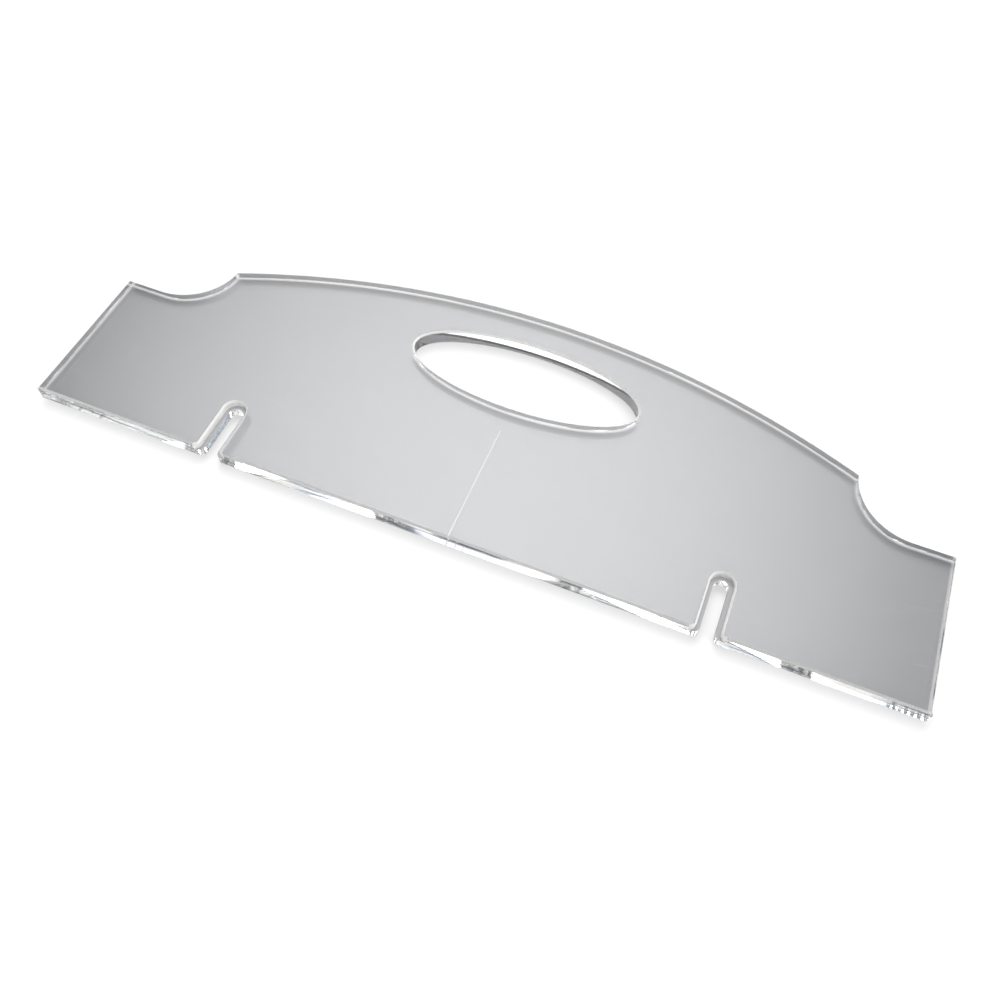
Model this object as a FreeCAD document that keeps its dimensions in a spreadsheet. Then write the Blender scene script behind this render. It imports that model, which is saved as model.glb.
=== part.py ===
import FreeCAD, Part
import math
import os

import Sketcher

# Handle router template: one flat plate of clear acrylic, milled on all its edges.
# It is drawn with its near edge on the X axis and its crown towards +Y, lying on its
# engraved face, and the finished plate is then centred on the origin. Lengths are
# millimetres and angles are degrees.

os.makedirs("parts", exist_ok=True)
document = FreeCAD.newDocument("handle_router_template")

DRIVING_SIZES = [
    ("plate_length", 470.0, "end to end"),
    ("plate_thickness", 9.5, "acrylic sheet"),
    ("end_height", 86.0, "near edge to the shoulder at each end"),
    ("crown_rise", 66.0, "shoulder to the top of the crown"),
    ("shoulder_length", 21.8, "straight step beyond each notch"),
    ("notch_radius", 31.3, "quarter round between shoulder and crown"),
    ("notch_sweep", 86.6, "turn of the notch, which ends in a sharp point"),
    ("hand_hole_length", 129.3, "oval that the handle opening is routed from"),
    ("hand_hole_height", 44.7, "oval, across"),
    ("hand_hole_centre", 107.9, "near edge to the middle of the oval"),
    ("slot_spacing", 264.0, "between the middles of the two bolt slots"),
    ("slot_reach", 27.1, "near edge to the centre of a slot's round end"),
    ("bolt_slot_width", 7.6, "lets a quarter inch bolt slide"),
    ("head_recess_width", 11.9, "holds a hexagon head across its flats"),
    ("head_recess_depth", 4.0, "sinks the head below the top face"),
    ("mouth_radius", 3.0, "lead-in at the open end of a slot"),
    ("top_bevel", 1.0, "broken edge round the top face"),
    ("bottom_bevel", 1.0, "broken edge round the bottom face"),
    ("line_width", 0.7, "engraved centre line"),
    ("line_depth", 0.2, "engraved centre line"),
    ("line_gap", 1.5, "from the oval's edge to the end of the line"),
]

sizes = document.addObject("Spreadsheet::Sheet", "Sizes")
for row, (alias, value, meaning) in enumerate(DRIVING_SIZES, start=1):
    sizes.set(f"A{row}", alias)
    sizes.set(f"B{row}", str(value))
    sizes.set(f"C{row}", meaning)
    sizes.setAlias(f"B{row}", alias)
document.recompute()


def size(alias):
    return float(getattr(sizes, alias))


body = document.addObject("PartDesign::Body", "TemplatePlate")
body.Label = "template_plate"


def origin_plane(role):
    for feature in body.Origin.OriginFeatures:
        if feature.Role == role:
            return feature
    raise RuntimeError(f"the body has no plane {role}")


def point(x, y):
    return FreeCAD.Vector(x, y, 0.0)


def arc(centre_x, centre_y, radius, start_degrees, end_degrees):
    circle = Part.Circle(point(centre_x, centre_y), FreeCAD.Vector(0, 0, 1), radius)
    return Part.ArcOfCircle(circle, math.radians(start_degrees), math.radians(end_degrees))


def new_sketch(name, height=None):
    sketch = body.newObject("Sketcher::SketchObject", name)
    sketch.AttachmentSupport = [(origin_plane("XY_Plane"), "")]
    sketch.MapMode = "FlatFace"
    if height is not None:
        sketch.setExpression(".AttachmentOffset.Base.z", height)
    return sketch


def drive(sketch, kind, where, expression, value, name):
    index = sketch.addConstraint(Sketcher.Constraint(kind, *where, value))
    sketch.renameConstraint(index, name)
    sketch.setExpression(f"Constraints.{name}", expression)


def join(sketch, *pairs):
    for pair in pairs:
        sketch.addConstraint(Sketcher.Constraint("Coincident", *pair))


def relate(sketch, *relations):
    for relation in relations:
        sketch.addConstraint(Sketcher.Constraint(*relation))


def check_sketch(sketch):
    document.recompute()
    if sketch.solve() != 0 or not sketch.FullyConstrained:
        raise RuntimeError(f"{sketch.Name} isn't fully constrained")


def volume_after(feature):
    document.recompute()
    return feature.Shape.Volume


# Reference numbers of the sketch axes, and of the ends and the centre of an element.
X_AXIS, Y_AXIS = range(-1, -3, -1)
START, END, CENTRE = range(1, 4)
ORIGIN = (X_AXIS, START)


# The outline. Each end has a straight side and a short shoulder. A notch leaves the
# shoulder tangentially and meets the crown in a sharp point, and the crown is one arc
# through both points and the top.
half_length = size("plate_length") / 2
end_height = size("end_height")
notch_radius = size("notch_radius")
notch_sweep = size("notch_sweep")
crown_top = end_height + size("crown_rise")
notch_x = half_length - size("shoulder_length")
notch_y = end_height + notch_radius
cusp_x = notch_x - notch_radius * math.sin(math.radians(notch_sweep))
cusp_y = notch_y - notch_radius * math.cos(math.radians(notch_sweep))
crown_sagitta = crown_top - cusp_y
crown_radius = (cusp_x ** 2 + crown_sagitta ** 2) / (2 * crown_sagitta)
crown_centre_y = crown_top - crown_radius
cusp_angle = math.degrees(math.atan2(cusp_y - crown_centre_y, cusp_x))

outline = new_sketch("PlateOutline")
near_edge = outline.addGeometry(Part.LineSegment(point(-half_length, 0), point(half_length, 0)))
right_side = outline.addGeometry(Part.LineSegment(point(half_length, 0), point(half_length, end_height)))
right_shoulder = outline.addGeometry(Part.LineSegment(point(half_length, end_height), point(notch_x, end_height)))
right_notch = outline.addGeometry(arc(notch_x, notch_y, notch_radius, 270 - notch_sweep, 270))
crown = outline.addGeometry(arc(0, crown_centre_y, crown_radius, cusp_angle, 180 - cusp_angle))
left_notch = outline.addGeometry(arc(-notch_x, notch_y, notch_radius, 270, 270 + notch_sweep))
left_shoulder = outline.addGeometry(Part.LineSegment(point(-notch_x, end_height), point(-half_length, end_height)))
left_side = outline.addGeometry(Part.LineSegment(point(-half_length, end_height), point(-half_length, 0)))
crown_apex = outline.addGeometry(Part.Point(point(0, crown_top)), True)
join(
    outline,
    (near_edge, END, right_side, START),
    (right_side, END, right_shoulder, START),
    (right_shoulder, END, right_notch, END),
    (right_notch, START, crown, START),
    (crown, END, left_notch, END),
    (left_notch, START, left_shoulder, START),
    (left_shoulder, END, left_side, START),
    (left_side, END, near_edge, START),
)
relate(
    outline,
    ("PointOnObject", near_edge, START, X_AXIS),
    ("Symmetric", near_edge, START, near_edge, END, Y_AXIS),
    ("Vertical", right_side),
    ("Horizontal", right_shoulder),
    ("Vertical", right_notch, END, right_notch, CENTRE),
    ("Symmetric", right_notch, END, left_notch, START, Y_AXIS),
    ("Symmetric", right_notch, CENTRE, left_notch, CENTRE, Y_AXIS),
    ("Horizontal", right_notch, START, left_notch, END),
    ("Horizontal", left_shoulder),
    ("Vertical", left_side),
    ("PointOnObject", crown_apex, START, crown),
    ("PointOnObject", crown_apex, START, Y_AXIS),
)
drive(outline, "DistanceX", (near_edge, START, near_edge, END), "Sizes.plate_length", 2 * half_length, "length")
drive(outline, "DistanceY", (right_side, START, right_side, END), "Sizes.end_height", end_height, "end_height")
drive(
    outline, "DistanceX", (right_shoulder, END, right_shoulder, START),
    "Sizes.shoulder_length", half_length - notch_x, "shoulder_length",
)
drive(outline, "Radius", (right_notch,), "Sizes.notch_radius", notch_radius, "notch_radius")
drive(outline, "Angle", (right_notch,), "Sizes.notch_sweep * 1 deg", math.radians(notch_sweep), "notch_sweep")
drive(
    outline, "DistanceY", (*ORIGIN, crown_apex, START),
    "Sizes.end_height + Sizes.crown_rise", crown_top, "crown_top",
)
check_sketch(outline)

plate = body.newObject("PartDesign::Pad", "Plate")
plate.Profile = outline
plate.setExpression("Length", "Sizes.plate_thickness")
plate_volume = volume_after(plate)


# The hand hole, an upright-sided oval milled right through.
oval_length = size("hand_hole_length")
oval_height = size("hand_hole_height")
oval_centre = size("hand_hole_centre")
oval_sketch = new_sketch("HandHoleOutline", "Sizes.plate_thickness")
oval = oval_sketch.addGeometry(
    Part.Ellipse(point(oval_length / 2, oval_centre), point(0, oval_centre + oval_height / 2), point(0, oval_centre))
)
oval_sketch.exposeInternalGeometry(oval)
long_axis = oval + 1
short_axis = oval + 2
relate(oval_sketch, ("PointOnObject", oval, CENTRE, Y_AXIS), ("Horizontal", long_axis))
drive(oval_sketch, "DistanceY", (*ORIGIN, oval, CENTRE), "Sizes.hand_hole_centre", oval_centre, "centre")
drive(oval_sketch, "Distance", (long_axis,), "Sizes.hand_hole_length", oval_length, "length")
drive(oval_sketch, "Distance", (short_axis,), "Sizes.hand_hole_height", oval_height, "height")
check_sketch(oval_sketch)

hand_hole = body.newObject("PartDesign::Pocket", "HandHole")
hand_hole.Profile = oval_sketch
hand_hole.Type = "ThroughAll"
hand_hole_volume = volume_after(hand_hole)


# The bolt slots, open at the near edge. Each is milled twice on one centre line: a
# narrow slot right through for the bolt's shank, and a wider one from the top that
# stops part way down and leaves a ledge for the head. Both have rounded mouths.
def slot_outline(name, width_alias):
    centre_x = size("slot_spacing") / 2
    reach = size("slot_reach")
    width = size(width_alias)
    mouth = size("mouth_radius")
    left = centre_x - width / 2
    right = centre_x + width / 2
    sketch = new_sketch(name, "Sizes.plate_thickness")
    opening = sketch.addGeometry(Part.LineSegment(point(left - mouth, 0), point(right + mouth, 0)))
    right_mouth = sketch.addGeometry(arc(right + mouth, mouth, mouth, 180, 270))
    right_wall = sketch.addGeometry(Part.LineSegment(point(right, mouth), point(right, reach)))
    round_end = sketch.addGeometry(arc(centre_x, reach, width / 2, 0, 180))
    left_wall = sketch.addGeometry(Part.LineSegment(point(left, reach), point(left, mouth)))
    left_mouth = sketch.addGeometry(arc(left - mouth, mouth, mouth, 270, 360))
    join(
        sketch,
        (opening, END, right_mouth, END),
        (right_mouth, START, right_wall, START),
        (right_wall, END, round_end, START),
        (round_end, END, left_wall, START),
        (left_wall, END, left_mouth, END),
        (left_mouth, START, opening, START),
    )
    relate(
        sketch,
        ("PointOnObject", opening, START, X_AXIS),
        ("PointOnObject", opening, END, X_AXIS),
        ("Vertical", right_mouth, END, right_mouth, CENTRE),
        ("Horizontal", right_mouth, START, right_mouth, CENTRE),
        ("Vertical", right_wall),
        ("Horizontal", round_end, START, round_end, CENTRE),
        ("Horizontal", round_end, END, round_end, CENTRE),
        ("Vertical", left_wall),
        ("Horizontal", left_mouth, END, left_mouth, CENTRE),
        ("Vertical", left_mouth, START, left_mouth, CENTRE),
        ("Equal", right_mouth, left_mouth),
    )
    drive(sketch, "DistanceX", (*ORIGIN, round_end, CENTRE), "Sizes.slot_spacing / 2", centre_x, "centre")
    drive(sketch, "DistanceY", (*ORIGIN, round_end, CENTRE), "Sizes.slot_reach", reach, "reach")
    drive(sketch, "DistanceX", (round_end, END, round_end, START), f"Sizes.{width_alias}", width, "width")
    drive(sketch, "Radius", (right_mouth,), "Sizes.mouth_radius", mouth, "mouth_radius")
    check_sketch(sketch)
    return sketch


bolt_slot = body.newObject("PartDesign::Pocket", "BoltSlot")
bolt_slot.Profile = slot_outline("BoltSlotOutline", "bolt_slot_width")
bolt_slot.Type = "ThroughAll"
bolt_slot_volume = volume_after(bolt_slot)

head_recess = body.newObject("PartDesign::Pocket", "HeadRecess")
head_recess.Profile = slot_outline("HeadRecessOutline", "head_recess_width")
head_recess.setExpression("Length", "Sizes.head_recess_depth")
head_recess_volume = volume_after(head_recess)

both_slots = body.newObject("PartDesign::Mirrored", "BothSlots")
both_slots.Originals = [bolt_slot, head_recess]
both_slots.MirrorPlane = (origin_plane("YZ_Plane"), [""])
body.Tip = both_slots
both_slots_volume = volume_after(both_slots)


# The sharp edges of both faces are broken all round, the oval and the slots included.
def edges_at_height(shape, height):
    found = []
    for number, edge in enumerate(shape.Edges, start=1):
        box = edge.BoundBox
        if abs(box.ZMin - height) < 1e-4 and abs(box.ZMax - height) < 1e-4:
            found.append(f"Edge{number}")
    return found


def bevel(name, base, height, alias):
    feature = body.newObject("PartDesign::Chamfer", name)
    feature.Base = (base, edges_at_height(base.Shape, height))
    feature.setExpression("Size", f"Sizes.{alias}")
    return feature


top_bevel = bevel("TopBevel", both_slots, size("plate_thickness"), "top_bevel")
top_bevel_volume = volume_after(top_bevel)
bottom_bevel = bevel("BottomBevel", top_bevel, 0.0, "bottom_bevel")
bottom_bevel_volume = volume_after(bottom_bevel)


# The centre line, engraved in the bottom face so that the marks show through the plate
# and stay clear of the router's base. It runs from the near edge almost to the oval.
line_width = size("line_width")
line_end = oval_centre - oval_height / 2 - size("line_gap")
line_sketch = new_sketch("CentreLineOutline")
line_left = line_sketch.addGeometry(Part.LineSegment(point(-line_width / 2, line_end), point(-line_width / 2, 0)))
line_near = line_sketch.addGeometry(Part.LineSegment(point(-line_width / 2, 0), point(line_width / 2, 0)))
line_right = line_sketch.addGeometry(Part.LineSegment(point(line_width / 2, 0), point(line_width / 2, line_end)))
line_far = line_sketch.addGeometry(Part.LineSegment(point(line_width / 2, line_end), point(-line_width / 2, line_end)))
join(
    line_sketch,
    (line_left, END, line_near, START),
    (line_near, END, line_right, START),
    (line_right, END, line_far, START),
    (line_far, END, line_left, START),
)
relate(
    line_sketch,
    ("PointOnObject", line_near, START, X_AXIS),
    ("Symmetric", line_near, START, line_near, END, Y_AXIS),
    ("Symmetric", line_far, START, line_far, END, Y_AXIS),
    ("Vertical", line_left),
)
drive(line_sketch, "DistanceX", (line_near, START, line_near, END), "Sizes.line_width", line_width, "width")
drive(
    line_sketch, "DistanceY", (line_right, START, line_right, END),
    "Sizes.hand_hole_centre - Sizes.hand_hole_height / 2 - Sizes.line_gap", line_end, "length",
)
check_sketch(line_sketch)

centre_line = body.newObject("PartDesign::Pocket", "CentreLine")
centre_line.Profile = line_sketch
centre_line.Reversed = True
centre_line.setExpression("Length", "Sizes.line_depth")
centre_line_volume = volume_after(centre_line)


# The plate's frame has its origin under the middle of its length and of its height.
body.setExpression(".Placement.Base.y", "-(Sizes.end_height + Sizes.crown_rise) / 2")
document.recompute()

# Every cut has to remove material, and the finished plate has to be one sound solid.
volumes = [
    plate_volume,
    hand_hole_volume,
    bolt_slot_volume,
    head_recess_volume,
    both_slots_volume,
    top_bevel_volume,
    bottom_bevel_volume,
    centre_line_volume,
]
for before, after in zip(volumes, volumes[1:]):
    if not after < before:
        raise RuntimeError("a cut removed nothing")
for feature in document.Objects:
    if "Invalid" in feature.State or "Error" in feature.State:
        raise RuntimeError(f"{feature.Name} failed")
if body.Shape.isNull() or not body.Shape.isValid() or len(body.Shape.Solids) != 1:
    raise RuntimeError(f"{body.Label} isn't one valid solid")

body.Shape.exportStep(f"parts/{body.Label}.step")
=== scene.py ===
import math

import bpy
from mathutils import Matrix, Vector, geometry


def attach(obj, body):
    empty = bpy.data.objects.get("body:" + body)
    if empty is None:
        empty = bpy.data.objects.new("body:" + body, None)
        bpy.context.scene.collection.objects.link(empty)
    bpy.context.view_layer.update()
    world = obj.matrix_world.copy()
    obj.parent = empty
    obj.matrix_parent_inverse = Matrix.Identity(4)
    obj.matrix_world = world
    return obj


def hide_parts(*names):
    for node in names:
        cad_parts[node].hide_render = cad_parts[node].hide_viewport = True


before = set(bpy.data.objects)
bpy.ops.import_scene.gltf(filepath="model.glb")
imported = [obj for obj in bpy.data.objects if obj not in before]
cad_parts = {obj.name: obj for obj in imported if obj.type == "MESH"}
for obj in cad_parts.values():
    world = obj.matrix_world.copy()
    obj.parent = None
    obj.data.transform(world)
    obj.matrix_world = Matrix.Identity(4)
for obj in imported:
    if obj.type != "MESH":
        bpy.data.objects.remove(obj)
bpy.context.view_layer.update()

scene = bpy.context.scene

# The sheet. The whole tool is one plate of clear cast acrylic 9.5 mm thick, cut and
# milled to shape with a bit that broke both edges of every wall. The sizes here are
# the real ones in metres, and the plate lies on its engraved face.
plate_length = 0.470
plate_thickness = 0.0095
end_height = 0.086
crown_rise = 0.066
shoulder_length = 0.0218
notch_radius = 0.0313
notch_sweep = math.radians(86.6)
top_bevel = 0.0010
bottom_bevel = 0.0010
notch_steps = 48
crown_steps = 96

half_length = plate_length / 2
crown_top = end_height + crown_rise
notch_x = half_length - shoulder_length
notch_y = end_height + notch_radius
cusp_x = notch_x - notch_radius * math.sin(notch_sweep)
cusp_y = notch_y - notch_radius * math.cos(notch_sweep)
crown_radius = (cusp_x ** 2 + (crown_top - cusp_y) ** 2) / (2 * (crown_top - cusp_y))
crown_centre_y = crown_top - crown_radius


def arc_points(centre, radius, start, end, steps):
    """Points of an arc, from the start angle to the end angle, both included."""
    turns = [start + (end - start) * step / steps for step in range(steps + 1)]
    return [(centre[0] + radius * math.cos(a), centre[1] + radius * math.sin(a)) for a in turns]


def cusp_of(inset):
    """Where the notch and the crown meet once both walls have moved in by the inset."""
    notch_reach = notch_radius + inset
    crown_reach = crown_radius - inset
    across = math.hypot(notch_x, notch_y - crown_centre_y)
    along = (crown_reach ** 2 - notch_reach ** 2 + across ** 2) / (2 * across)
    aside = math.sqrt(crown_reach ** 2 - along ** 2)
    toward = (notch_x / across, (notch_y - crown_centre_y) / across)
    return (along * toward[0] - aside * toward[1], crown_centre_y + along * toward[1] + aside * toward[0])


# The bolt slots. Each was milled twice from the near edge: 7.6 mm wide right through
# for a bolt's shank, and 11.9 mm wide from the top, down to a ledge for its head. The
# mouths are rounded, and both cuts end in a half round.
slot_x = 0.132
slot_reach = 0.0271
bolt_slot_width = 0.0076
head_recess_width = 0.0119
head_recess_depth = 0.0040
mouth_radius = 0.0030
mouth_steps = 12
slot_end_steps = 32
ledge_height = plate_thickness - head_recess_depth


def slot_points(slot_width, inset):
    """One slot's wall, from the near edge in, round the end and out again."""
    half_width = slot_width / 2
    mouth_x = half_width + mouth_radius
    lead = arc_points((-mouth_x, mouth_radius), mouth_radius - inset, -math.pi / 2, 0.0, mouth_steps)
    tip = arc_points((0.0, slot_reach), half_width + inset, math.pi, 0.0, slot_end_steps)
    exit_side = [(-x, y) for x, y in reversed(lead)]
    return lead + tip + exit_side


def right_half(slot_width, inset):
    """The outline's right half, from the centre line along the near edge to the crown."""
    mouth_start = slot_x - head_recess_width / 2 - mouth_radius
    slot = [(slot_x + x, y) for x, y in slot_points(slot_width, inset)]
    cusp = cusp_of(inset)
    notch_end = math.atan2(cusp[1] - notch_y, cusp[0] - notch_x)
    if notch_end > 0:
        notch_end -= 2 * math.pi
    notch = arc_points((notch_x, notch_y), notch_radius + inset, -math.pi / 2, notch_end, notch_steps)
    crown_start = math.atan2(cusp[1] - crown_centre_y, cusp[0])
    crown = arc_points((0.0, crown_centre_y), crown_radius - inset, crown_start, math.pi / 2, crown_steps)
    points = [(mouth_start, inset)]
    points += slot
    points += [(2 * slot_x - mouth_start, inset)]
    points += [(half_length - inset, inset), (half_length - inset, end_height - inset)]
    points += notch
    points += crown[1:]
    return points


def plate_outline(slot_width, inset):
    """The whole outline, anticlockwise, with the near edge at y = 0."""
    right = right_half(slot_width, inset)
    left = [(-x, y) for x, y in reversed(right[:-1])]
    return right + left


def in_slot(x, y):
    """Whether a place on the outline lies in a slot or on its mouth."""
    return abs(abs(x) - slot_x) < head_recess_width / 2 + mouth_radius and y < 2 * slot_reach


def on_slot_side(x, y):
    """Whether it lies on one of the slot's two straight sides."""
    return in_slot(x, y) and mouth_radius < y < slot_reach


def on_near_edge(x, y):
    """Whether it lies on the straight near edge, clear of the slots."""
    return y < mouth_radius / 2 and not in_slot(x, y)


# The hand hole. A long oval milled right through below the crown: the router's bushing
# runs round it to cut the opening that the fingers go through. Its wall is upright
# between the two broken edges.
hand_hole_length = 0.1293
hand_hole_height = 0.0447
hand_hole_y = 0.1079
hand_hole_steps = 240


def hand_hole_outline(inset):
    """The oval, clockwise, widened by the inset along its normals."""
    half_x = hand_hole_length / 2
    half_y = hand_hole_height / 2
    points = []
    for step in range(hand_hole_steps):
        turn = -2 * math.pi * step / hand_hole_steps
        normal = Vector((math.cos(turn) / half_x, math.sin(turn) / half_y)).normalized()
        x = half_x * math.cos(turn) + inset * normal.x
        y = half_y * math.sin(turn) + inset * normal.y
        points.append((x, hand_hole_y + y))
    return points


# The centre line. A fine line engraved in the face that lies down, so that it shows
# through the plate and nothing rubs it. It runs from the near edge and stops 12 mm short
# of the oval, and its floor is left white and matt by the cutter.
line_half_width = 0.00035
line_depth = 0.0002
line_gap = 0.0122
line_start_y = 0.0011
line_end_y = hand_hole_y - hand_hole_height / 2 - line_gap
groove = [
    (-line_half_width, line_start_y),
    (-line_half_width, line_end_y),
    (line_half_width, line_end_y),
    (line_half_width, line_start_y),
]

# The plate's mesh. One closed skin: the two faces, the upright walls, the broken edges
# between them, the ledges in the slots and the groove of the centre line. Each kind of
# surface has its own finish, and its map gives the way along each wall and the height.
(POLISHED, MILLED, OVAL, OVAL_FOOT, SLOTTED, FROSTED, NEAR_WALL, NEAR_EDGE, LEDGE, ENGRAVED) = range(10)
flat_angle = math.radians(20)
corner_numbers = {}
corners = []
skin_faces = []
skin_finishes = []
skin_map = []


def corner(point, height):
    """The number of the skin's corner at this place."""
    key = (round(point[0], 7), round(point[1], 7), round(height, 7))
    if key not in corner_numbers:
        corner_numbers[key] = len(corners)
        corners.append((point[0], point[1] - crown_top / 2, height))
    return corner_numbers[key]


def add_face(numbers, places, finish):
    """One face, without the corners that fall together."""
    distinct = [i for i, n in enumerate(numbers) if n != numbers[(i + 1) % len(numbers)]]
    if len(distinct) > 2:
        skin_faces.append([numbers[i] for i in distinct])
        skin_map.extend([places[i] for i in distinct])
        skin_finishes.append(finish)


def add_band(lower, lower_height, upper, upper_height, finish, *others):
    """A strip of wall between two closed outlines with the same number of points.

    The others are pairs of a finish and the test for the places that have it.
    """
    start = 0.0
    for i in range(len(lower)):
        j = (i + 1) % len(lower)
        end = start + math.dist(upper[i], upper[j])
        quad = [
            corner(lower[i], lower_height),
            corner(lower[j], lower_height),
            corner(upper[j], upper_height),
            corner(upper[i], upper_height),
        ]
        places = [(start, lower_height), (end, lower_height), (end, upper_height), (start, upper_height)]
        middle = [(a + b) / 2 for a, b in zip(lower[i], lower[j])]
        own = [other for other, has_it in others if has_it(*middle)]
        add_face(quad, places, own[0] if own else finish)
        start = end


def add_flat(outlines, height, upward, finish):
    """A flat face inside the first outline, with the others as holes."""
    rings = [[Vector((x, y, 0.0)) for x, y in outline] for outline in outlines]
    numbers = [corner(point, height) for outline in outlines for point in outline]
    for triangle in geometry.tessellate_polygon(rings):
        face = [numbers[i] for i in triangle]
        a, b, c = [Vector(corners[n]) for n in face]
        if ((b - a).cross(c - a).z > 0) != upward:
            face.reverse()
        add_face(face, [corners[n][:2] for n in face], finish)


wall_top = plate_thickness - top_bevel
bottom_outline = plate_outline(bolt_slot_width, bottom_bevel)
lower_outline = plate_outline(bolt_slot_width, 0.0)
upper_outline = plate_outline(head_recess_width, 0.0)
top_outline = plate_outline(head_recess_width, top_bevel)
lower_wall = (lower_outline, bottom_bevel, lower_outline, ledge_height)
upper_wall = (upper_outline, ledge_height, upper_outline, wall_top)
add_band(bottom_outline, 0.0, lower_outline, bottom_bevel, MILLED)
add_band(*lower_wall, MILLED, (SLOTTED, on_slot_side), (NEAR_WALL, on_near_edge))
add_band(lower_outline, ledge_height, upper_outline, ledge_height, LEDGE)
add_band(*upper_wall, MILLED, (FROSTED, in_slot), (NEAR_WALL, on_near_edge))
add_band(upper_outline, wall_top, top_outline, plate_thickness, FROSTED, (NEAR_EDGE, on_near_edge))

bottom_oval = hand_hole_outline(bottom_bevel)
wall_oval = hand_hole_outline(0.0)
top_oval = hand_hole_outline(top_bevel)
add_band(bottom_oval, 0.0, wall_oval, bottom_bevel, OVAL_FOOT)
add_band(wall_oval, bottom_bevel, wall_oval, wall_top, OVAL)
add_band(wall_oval, wall_top, top_oval, plate_thickness, FROSTED)

add_band(groove, 0.0, groove, line_depth, ENGRAVED)
add_flat([groove], line_depth, False, ENGRAVED)
add_flat([bottom_outline, bottom_oval, groove], 0.0, False, POLISHED)
add_flat([top_outline, top_oval], plate_thickness, True, POLISHED)

plate_mesh = bpy.data.meshes.new("plate")
plate_mesh.from_pydata(corners, [], skin_faces)
plate_mesh.polygons.foreach_set("material_index", skin_finishes)
plate_mesh.polygons.foreach_set("use_smooth", [True] * len(skin_faces))
plate_mesh.set_sharp_from_angle(angle=flat_angle)
wall_map = plate_mesh.uv_layers.new(name="along_and_up")
wall_map.data.foreach_set("uv", [value for place in skin_map for value in place])
plate_mesh.validate()
plate = bpy.data.objects.new("plate", plate_mesh)
scene.collection.objects.link(plate)


# The finishes' shared marks. Handling leaves fine scratches in short patches on the cast
# faces, in three directions. The cutter's feed leaves upright ridges along the walls,
# nearly even, with a finer grain over them.
def feed_in(tree, socket, value):
    """Sets a socket to a number or a colour, or links another socket to it."""
    if isinstance(value, bpy.types.NodeSocket):
        tree.links.new(value, socket)
    elif isinstance(value, tuple):
        socket.default_value = (*value, 1.0)
    else:
        socket.default_value = value


def new_group(name, inputs, outputs):
    """A node group whose inputs are numbers with their values, and whose outputs are numbers."""
    group = bpy.data.node_groups.new(name, "ShaderNodeTree")
    for label, value in inputs.items():
        socket = group.interface.new_socket(name=label, in_out="INPUT", socket_type="NodeSocketFloat")
        socket.default_value = value
    for label in outputs:
        group.interface.new_socket(name=label, in_out="OUTPUT", socket_type="NodeSocketFloat")
    return group, group.nodes.new("NodeGroupInput").outputs, group.nodes.new("NodeGroupOutput").inputs


def math_node(tree, operation, first, second=0.0):
    node = tree.nodes.new("ShaderNodeMath")
    node.operation = operation
    feed_in(tree, node.inputs[0], first)
    feed_in(tree, node.inputs[1], second)
    return node.outputs["Value"]


def noise_node(tree, place, scale, detail):
    node = tree.nodes.new("ShaderNodeTexNoise")
    feed_in(tree, node.inputs["Vector"], place)
    node.inputs["Scale"].default_value = scale
    node.inputs["Detail"].default_value = detail
    return node.outputs["Fac"]


def spread(tree, value, low, high, start=0.0, end=1.0):
    """The value's stretch from start to end, laid out between low and high."""
    node = tree.nodes.new("ShaderNodeMapRange")
    for label, number in (
        ("Value", value), ("From Min", start), ("From Max", end), ("To Min", low), ("To Max", high)
    ):
        feed_in(tree, node.inputs[label], number)
    return node.outputs["Result"]


def stretched(tree, place, scale, turn=0.0, shift=0.0):
    """A place that is turned, shifted and scaled, to draw a pattern out along one way."""
    lay = tree.nodes.new("ShaderNodeMapping")
    lay.inputs["Location"].default_value = (shift, shift, 0.0)
    lay.inputs["Rotation"].default_value = (0.0, 0.0, turn)
    lay.inputs["Scale"].default_value = scale
    feed_in(tree, lay.inputs["Vector"], place)
    return lay.outputs["Vector"]


scratches, scratch_inputs, scratch_outputs = new_group(
    "fine_scratches", {"Spacing": 40.0, "Width": 0.02, "Coverage": 0.5}, ["Mask"]
)
scratch_place = scratches.nodes.new("ShaderNodeTexCoord").outputs["Object"]
scratch_stretch = (0.22, 3.0, 1.0)
patch_scale = 35.0
scratch_mask = 0.0
for turn, shift in ((0.35, 0.0), (1.25, 0.31), (2.5, 0.77)):
    lie = stretched(scratches, scratch_place, scratch_stretch, turn, shift)
    cells = scratches.nodes.new("ShaderNodeTexVoronoi")
    cells.feature = "DISTANCE_TO_EDGE"
    feed_in(scratches, cells.inputs["Vector"], lie)
    feed_in(scratches, cells.inputs["Scale"], scratch_inputs["Spacing"])
    hairline = spread(scratches, cells.outputs["Distance"], 1.0, 0.0, 0.0, scratch_inputs["Width"])
    patches = noise_node(scratches, lie, patch_scale, 2.0)
    kept = math_node(scratches, "LESS_THAN", patches, scratch_inputs["Coverage"])
    line = math_node(scratches, "MULTIPLY", hairline, kept)
    scratch_mask = math_node(scratches, "MAXIMUM", line, scratch_mask)
feed_in(scratches, scratch_outputs["Mask"], scratch_mask)

feed, feed_inputs, feed_outputs = new_group(
    "cutter_marks", {"Pitch": 0.0009, "Unevenness": 0.5}, ["Height", "Mask"]
)
drift_scale = 180.0
drift_turns = 4.0
grain_scale = 2500.0
ridge_share = 0.3
feed_map = feed.nodes.new("ShaderNodeUVMap")
feed_map.uv_map = "along_and_up"
feed_split = feed.nodes.new("ShaderNodeSeparateXYZ")
feed_in(feed, feed_split.inputs["Vector"], feed_map.outputs["UV"])
feed_line = feed.nodes.new("ShaderNodeCombineXYZ")
feed_in(feed, feed_line.inputs["X"], feed_split.outputs["X"])
drift = noise_node(feed, feed_line.outputs["Vector"], drift_scale, 2.0)
passes = math_node(feed, "DIVIDE", feed_split.outputs["X"], feed_inputs["Pitch"])
passes = math_node(feed, "ADD", passes, math_node(feed, "MULTIPLY", drift, drift_turns))
ridge = math_node(feed, "SINE", math_node(feed, "MULTIPLY", passes, 6.2832))
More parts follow.
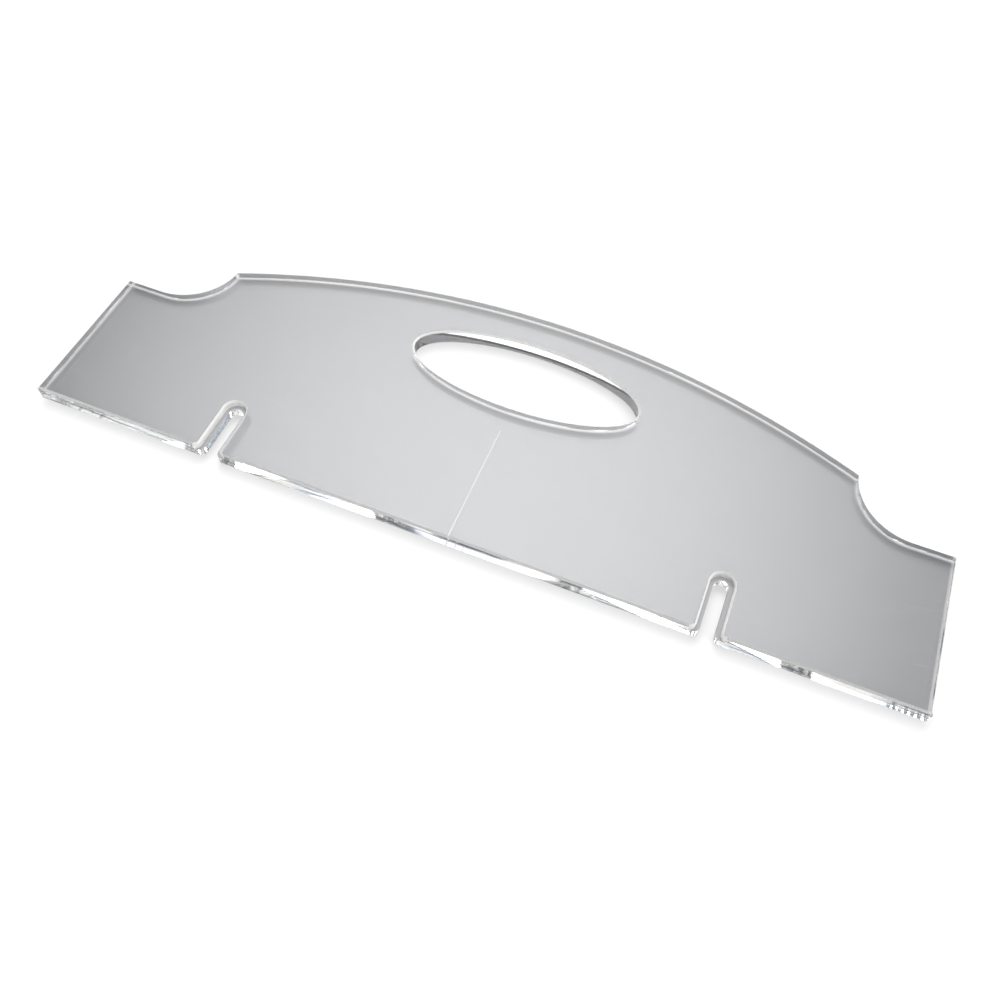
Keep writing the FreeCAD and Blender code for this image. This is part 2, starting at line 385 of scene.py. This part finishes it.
grain = noise_node(feed, feed_line.outputs["Vector"], grain_scale, 3.0)
uneven = math_node(feed, "MULTIPLY", grain, feed_inputs["Unevenness"])
feed_height = math_node(feed, "ADD", math_node(feed, "MULTIPLY", ridge, ridge_share), uneven)
feed_in(feed, feed_outputs["Height"], feed_height)
feed_mask = math_node(feed, "ADD", math_node(feed, "MULTIPLY", ridge, 0.5), 0.5)
feed_in(feed, feed_outputs["Mask"], feed_mask)

# The finishes. Cast acrylic leaves the mould with glossy faces that are faintly wavy. The
# cutter leaves the walls clear but ribbed, and the broken edges and the slots' recesses
# white and matt. Each is built here and laid on its own part of the skin.
acrylic_ior = 1.49
trapped_below = 0.0075


def new_material(name):
    material = bpy.data.materials.new(name)
    material.use_nodes = True
    return material, material.node_tree, material.node_tree.nodes["Principled BSDF"]


def new_acrylic(name, clearness):
    """A material of acrylic, from milky at 0 to quite clear at 1."""
    material, tree, shader = new_material(name)
    shader.inputs["IOR"].default_value = acrylic_ior
    shader.inputs["Transmission Weight"].default_value = clearness
    return material, tree, shader


def place_group(tree, group, **values):
    node = tree.nodes.new("ShaderNodeGroup")
    node.node_tree = group
    for label, value in values.items():
        node.inputs[label].default_value = value
    return node.outputs


def mix_colours(tree, mask, first, second):
    """The first colour where the mask is 0, and the second where it is 1."""
    node = tree.nodes.new("ShaderNodeMix")
    node.data_type = "RGBA"
    feed_in(tree, node.inputs["Factor"], mask)
    feed_in(tree, node.inputs["A"], first)
    feed_in(tree, node.inputs["B"], second)
    return node.outputs["Result"]


def add_bump(tree, shader, height, depth):
    bump = tree.nodes.new("ShaderNodeBump")
    bump.inputs["Strength"].default_value = 1.0
    bump.inputs["Distance"].default_value = depth
    feed_in(tree, bump.inputs["Height"], height)
    feed_in(tree, shader.inputs["Normal"], bump.outputs["Normal"])


def let_light_through(tree, shader, clear_share, trapped_share):
    """The table's light crosses this surface straight on, thinned to the shares given.

    Light that comes in low through the crown's wall stays trapped between the two faces,
    so it hardly reaches the table below. A ray is followed from the table up to the lamp,
    and it leaves the plate where the lamp's light comes in.
    """
    path = tree.nodes.new("ShaderNodeLightPath")
    table_light = math_node(tree, "MAXIMUM", path.outputs["Is Shadow Ray"], path.outputs["Is Diffuse Ray"])
    side = tree.nodes.new("ShaderNodeNewGeometry")
    place = tree.nodes.new("ShaderNodeSeparateXYZ")
    feed_in(tree, place.inputs["Vector"], side.outputs["Position"])
    facing = tree.nodes.new("ShaderNodeSeparateXYZ")
    feed_in(tree, facing.inputs["Vector"], side.outputs["True Normal"])
    low = math_node(tree, "LESS_THAN", place.outputs["Z"], trapped_below)
    back_or_front = math_node(tree, "ABSOLUTE", facing.outputs["Y"])
    inside_wall = math_node(tree, "MULTIPLY", low, back_or_front)
    trapped = math_node(tree, "MULTIPLY", inside_wall, side.outputs["Backfacing"])
    clear = tree.nodes.new("ShaderNodeBsdfTransparent")
    shares = mix_colours(tree, trapped, (clear_share,) * 3, (trapped_share,) * 3)
    feed_in(tree, clear.inputs["Color"], shares)
    choice = tree.nodes.new("ShaderNodeMixShader")
    feed_in(tree, choice.inputs["Fac"], table_light)
    feed_in(tree, choice.inputs[1], shader.outputs["BSDF"])
    feed_in(tree, choice.inputs[2], clear.outputs["BSDF"])
    feed_in(tree, tree.nodes["Material Output"].inputs["Surface"], choice.outputs["Shader"])


def cutter_finish(name, clearness, marks, colours, roughness, ridge_depth, shares):
    """A wall, ledge or broken edge as the cutter left it.

    The marks are the feed's pitch and unevenness. The colours and the roughness are those
    of the ridges' feet and of their tops. Without colours, the base colour is left to set.
    """
    material, tree, shader = new_acrylic(name, clearness)
    ridges = place_group(tree, feed, Pitch=marks[0], Unevenness=marks[1])
    if colours:
        feed_in(tree, shader.inputs["Base Color"], mix_colours(tree, ridges["Mask"], *colours))
    feed_in(tree, shader.inputs["Roughness"], spread(tree, ridges["Mask"], *roughness))
    add_bump(tree, shader, ridges["Height"], ridge_depth)
    let_light_through(tree, shader, *shares)
    return material


polished, tree, shader = new_acrylic("polished_acrylic", 1.0)
hairlines = place_group(tree, scratches, Spacing=30.0, Width=0.012, Coverage=0.42)["Mask"]
face_grey = (0.445, 0.450, 0.468)
scratch_grey = (0.51, 0.515, 0.528)
feed_in(tree, shader.inputs["Base Color"], mix_colours(tree, hairlines, face_grey, scratch_grey))
feed_in(tree, shader.inputs["Roughness"], spread(tree, hairlines, 0.0, 0.12))
waviness = noise_node(tree, tree.nodes.new("ShaderNodeTexCoord").outputs["Object"], 22.0, 1.0)
add_bump(tree, shader, waviness, 0.00008)
let_light_through(tree, shader, 0.73, 0.73)

# The clear walls. The cutter left the outer wall clear, with a tinge that is cream and
# bluish by turns. The near wall has long faint bluish streaks besides: painted reflections
# of a room. The oval's wall and the slots' straight sides are painted dark, as painted shade.
outer_marks = (0.0011, 0.6)
cream = (0.97, 0.93, 0.86)
bluish = (0.86, 0.91, 0.97)
# Painted reflections: long bluish streaks laid on the near wall in place of a room's reflections.
painted_reflection_blue = (0.085, 0.115, 0.165)
painted_reflection_stretch = (22.0, 420.0, 1.0)
glossy = (0.02, 0.06)
clear_shares = (0.95, 0.10)


def outer_wall(name, with_painted_reflections):
    """The clear outer wall, with its tinge and, on the near edge, its painted reflections."""
    material = cutter_finish(name, 1.0, outer_marks, None, glossy, 0.000004, clear_shares)
    tree = material.node_tree
    place = tree.nodes.new("ShaderNodeUVMap")
    place.uv_map = "along_and_up"
    tinge = spread(tree, noise_node(tree, place.outputs["UV"], 16.0, 1.0), -0.6, 1.6)
    colour = mix_colours(tree, tinge, cream, bluish)
    # On the near wall, long bluish streaks of painted reflection, in place of a room's.
    if with_painted_reflections:
        painted_reflection_place = stretched(tree, place.outputs["UV"], painted_reflection_stretch)
        painted_reflections = spread(tree, noise_node(tree, painted_reflection_place, 1.0, 2.0), -6.0, 6.0)
        colour = mix_colours(tree, painted_reflections, colour, painted_reflection_blue)
    feed_in(tree, tree.nodes["Principled BSDF"].inputs["Base Color"], colour)
    return material


milled = outer_wall("milled_acrylic", False)
near_wall = outer_wall("near_wall_painted_reflections", True)
# The oval's wall gets a near-black base colour: painted shade for the dark band along it.
oval = cutter_finish(
    "oval_painted_shade", 1.0, (0.0013, 0.5), ((0.065, 0.065, 0.07), (0.10, 0.10, 0.105)), glossy, 0.000004, (0.9, 0.10)
)
oval_foot = cutter_finish(
    "oval_foot_acrylic", 1.0, (0.0013, 0.5), ((0.88, 0.89, 0.91), (0.93, 0.94, 0.96)), glossy, 0.000004, (0.9, 0.10)
)
# The slots' straight sides get a near-black base colour: painted shade for the grey bands beside the slots.
slotted = cutter_finish(
    "slotted_painted_shade", 1.0, (0.0005, 0.9), ((0.020, 0.024, 0.030), (0.035, 0.040, 0.048)), (0.22, 0.32),
    0.000003, clear_shares,
)

# The matt surfaces. The bit left the broken edges of the top white and matt, and the one
# along the near edge smoother and half clear. The slots' ledges are a matt grey, and the
# engraved line is plain white.
matt_shares = (0.65, 0.5)
frosted = cutter_finish(
    "frosted_acrylic", 0.2, (0.0008, 1.0), ((0.92, 0.91, 0.885), (0.97, 0.965, 0.95)), (0.45, 0.65),
    0.00001, matt_shares,
)
near_edge = cutter_finish(
    "near_edge_acrylic", 0.4, (0.0008, 1.0), ((0.78, 0.775, 0.76), (0.86, 0.855, 0.84)), (0.15, 0.30),
    0.000006, matt_shares,
)
ledge = cutter_finish(
    "milled_ledge", 0.0, (0.0007, 0.8), ((0.36, 0.365, 0.38), (0.40, 0.405, 0.42)), (0.5, 0.7),
    0.000008, matt_shares,
)

engraved, tree, shader = new_material("engraved_white")
line_grain = noise_node(tree, tree.nodes.new("ShaderNodeTexCoord").outputs["Object"], 2200.0, 3.0)
line_white = mix_colours(tree, line_grain, (0.86, 0.86, 0.87), (0.97, 0.97, 0.98))
feed_in(tree, shader.inputs["Base Color"], line_white)
shader.inputs["Roughness"].default_value = 0.8
add_bump(tree, shader, line_grain, 0.00002)
let_light_through(tree, shader, *matt_shares)

for material in (polished, milled, oval, oval_foot, slotted, frosted, near_wall, near_edge, ledge, engraved):
    plate_mesh.materials.append(material)

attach(plate, "root")
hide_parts("template_plate")

# The table. A plain white sheet of paper that the plate lies on, wide enough to fill the
# picture from any side. It takes the plate's shadow.
table_drop = 0.0003
table_reach = 6.0
table_white = 0.84
table_mesh = bpy.data.meshes.new("table")
table_corners = [(-1, -1), (1, -1), (1, 1), (-1, 1)]
table_places = [(x * table_reach, y * table_reach, -table_drop) for x, y in table_corners]
table_mesh.from_pydata(table_places, [], [(0, 1, 2, 3)])
table =bpy.data.objects.new("table", table_mesh)
scene.collection.objects.link(table)

paper, tree, shader = new_material("white_paper")
shader.inputs["Base Color"].default_value = (table_white, table_white, table_white, 1.0)
shader.inputs["Roughness"].default_value = 1.0
shader.inputs["Specular IOR Level"].default_value = 0.0
table_mesh.materials.append(paper)

# The light. A plain white room with one broad soft lamp behind the plate, high above it
# and a little to the left, and a weaker one low at its right that fills the walls. Each
# fades towards its rim. The camera sees the room white, and glass sees it white low down.
# It is full white up to 20 degrees, as the sine here, and fades out at 40 degrees.
room_strength = 0.14
white_up_to = 0.34
dark_from = 0.64
world = bpy.data.worlds.new("studio")
scene.world = world
world.use_nodes = True
room = world.node_tree
direction = room.nodes.new("ShaderNodeTexCoord").outputs["Generated"]


def soft_lamp(azimuth, elevation, half_width, strength):
    """How bright a round lamp on the room's wall is in each direction."""
    toward_lamp = room.nodes.new("ShaderNodeVectorMath")
    toward_lamp.operation = "DOT_PRODUCT"
    toward_lamp.inputs[1].default_value = Vector((
        math.sin(azimuth) * math.cos(elevation),
        math.cos(azimuth) * math.cos(elevation),
        math.sin(elevation),
    ))
    feed_in(room, toward_lamp.inputs[0], direction)
    return spread(room, toward_lamp.outputs["Value"], 0.0, strength, math.cos(half_width), 1.0)


main_lamp = soft_lamp(math.radians(-20.0), math.radians(61.0), math.radians(29.5), 8.1)
fill_lamp = soft_lamp(math.radians(105.0), math.radians(35.0), math.radians(35.0), 2.6)
steepness = room.nodes.new("ShaderNodeSeparateXYZ")
feed_in(room, steepness.inputs["Vector"], direction)
white_walls = spread(room, steepness.outputs["Z"], 0.0, 1.0, dark_from, white_up_to)
sight = room.nodes.new("ShaderNodeLightPath").outputs
through_glass = math_node(room, "MAXIMUM", sight["Is Glossy Ray"], sight["Is Transmission Ray"])
seen = math_node(room, "MULTIPLY", through_glass, white_walls)
seen = math_node(room, "MAXIMUM", seen, sight["Is Camera Ray"])
lit = math_node(room, "ADD", math_node(room, "ADD", main_lamp, fill_lamp), spread(room, seen, room_strength, 1.0))
background = room.nodes["Background"]
background.inputs["Color"].default_value = (1.0, 1.0, 1.0, 1.0)
feed_in(room, background.inputs["Strength"], lit)

# The camera. It stands close over the near right part of the plate and looks down on
# it, turned to the left and slightly tilted, with a wide lens.
camera_azimuth = math.radians(19.35)
camera_elevation = math.radians(57.89)
camera_roll = math.radians(2.94)
camera_distance = 0.4659
camera_target = Vector((0.01705, 0.02967 - crown_top / 2, plate_thickness))
lens_to_sensor = 0.93683

away = Vector((
    math.cos(camera_elevation) * math.sin(camera_azimuth),
    -math.cos(camera_elevation) * math.cos(camera_azimuth),
    math.sin(camera_elevation),
))
level_right = (-away).cross(Vector((0, 0, 1))).normalized()
level_up = level_right.cross(-away)
camera_right = math.cos(camera_roll) * level_right + math.sin(camera_roll) * level_up
camera_up = -math.sin(camera_roll) * level_right + math.cos(camera_roll) * level_up

camera_data = bpy.data.cameras.new("camera")
camera_data.sensor_width = 36.0
camera_data.lens = camera_data.sensor_width * lens_to_sensor
camera_data.clip_start = 0.01
camera = bpy.data.objects.new("camera", camera_data)
camera.matrix_world = Matrix.Translation(camera_target + camera_distance * away) @ Matrix((
    camera_right, camera_up, away
)).transposed().to_4x4()
scene.collection.objects.link(camera)
scene.camera = camera

glass_bounces = 40
scene.view_settings.view_transform = "Standard"
scene.cycles.max_bounces = glass_bounces
scene.cycles.transmission_bounces = glass_bounces
scene.cycles.glossy_bounces = glass_bounces
scene.cycles.caustics_refractive = False
